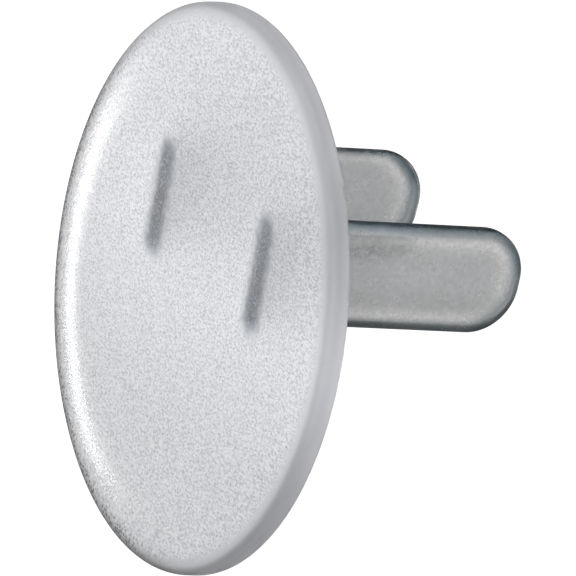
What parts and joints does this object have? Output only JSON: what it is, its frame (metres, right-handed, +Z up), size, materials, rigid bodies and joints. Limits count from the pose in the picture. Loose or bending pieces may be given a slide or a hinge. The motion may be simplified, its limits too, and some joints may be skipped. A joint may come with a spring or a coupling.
{
  "type": "outlet safety cap",
  "caption": "Round plug-in safety cap for a wall outlet: a thin frosted plastic plate with flat parallel blades moulded to its back, which fill the slots and keep fingers out.",
  "frame": {"origin": "middle of the plate's flat back, the face that meets the outlet", "axes": "+Z up as on the wall, +Y into the wall along the blades, so the plate's face looks along -Y; +X across the blades"},
  "size_m": [0.033, 0.0179, 0.033],
  "materials": {
    "frosted_plastic": "pale grey translucent plastic, fine grained frost on the face, smooth satin on the rim and blades"
  },
  "bodies": {
    "root": {"safety_cap": "frosted_plastic"}
  },
  "joints": []
}
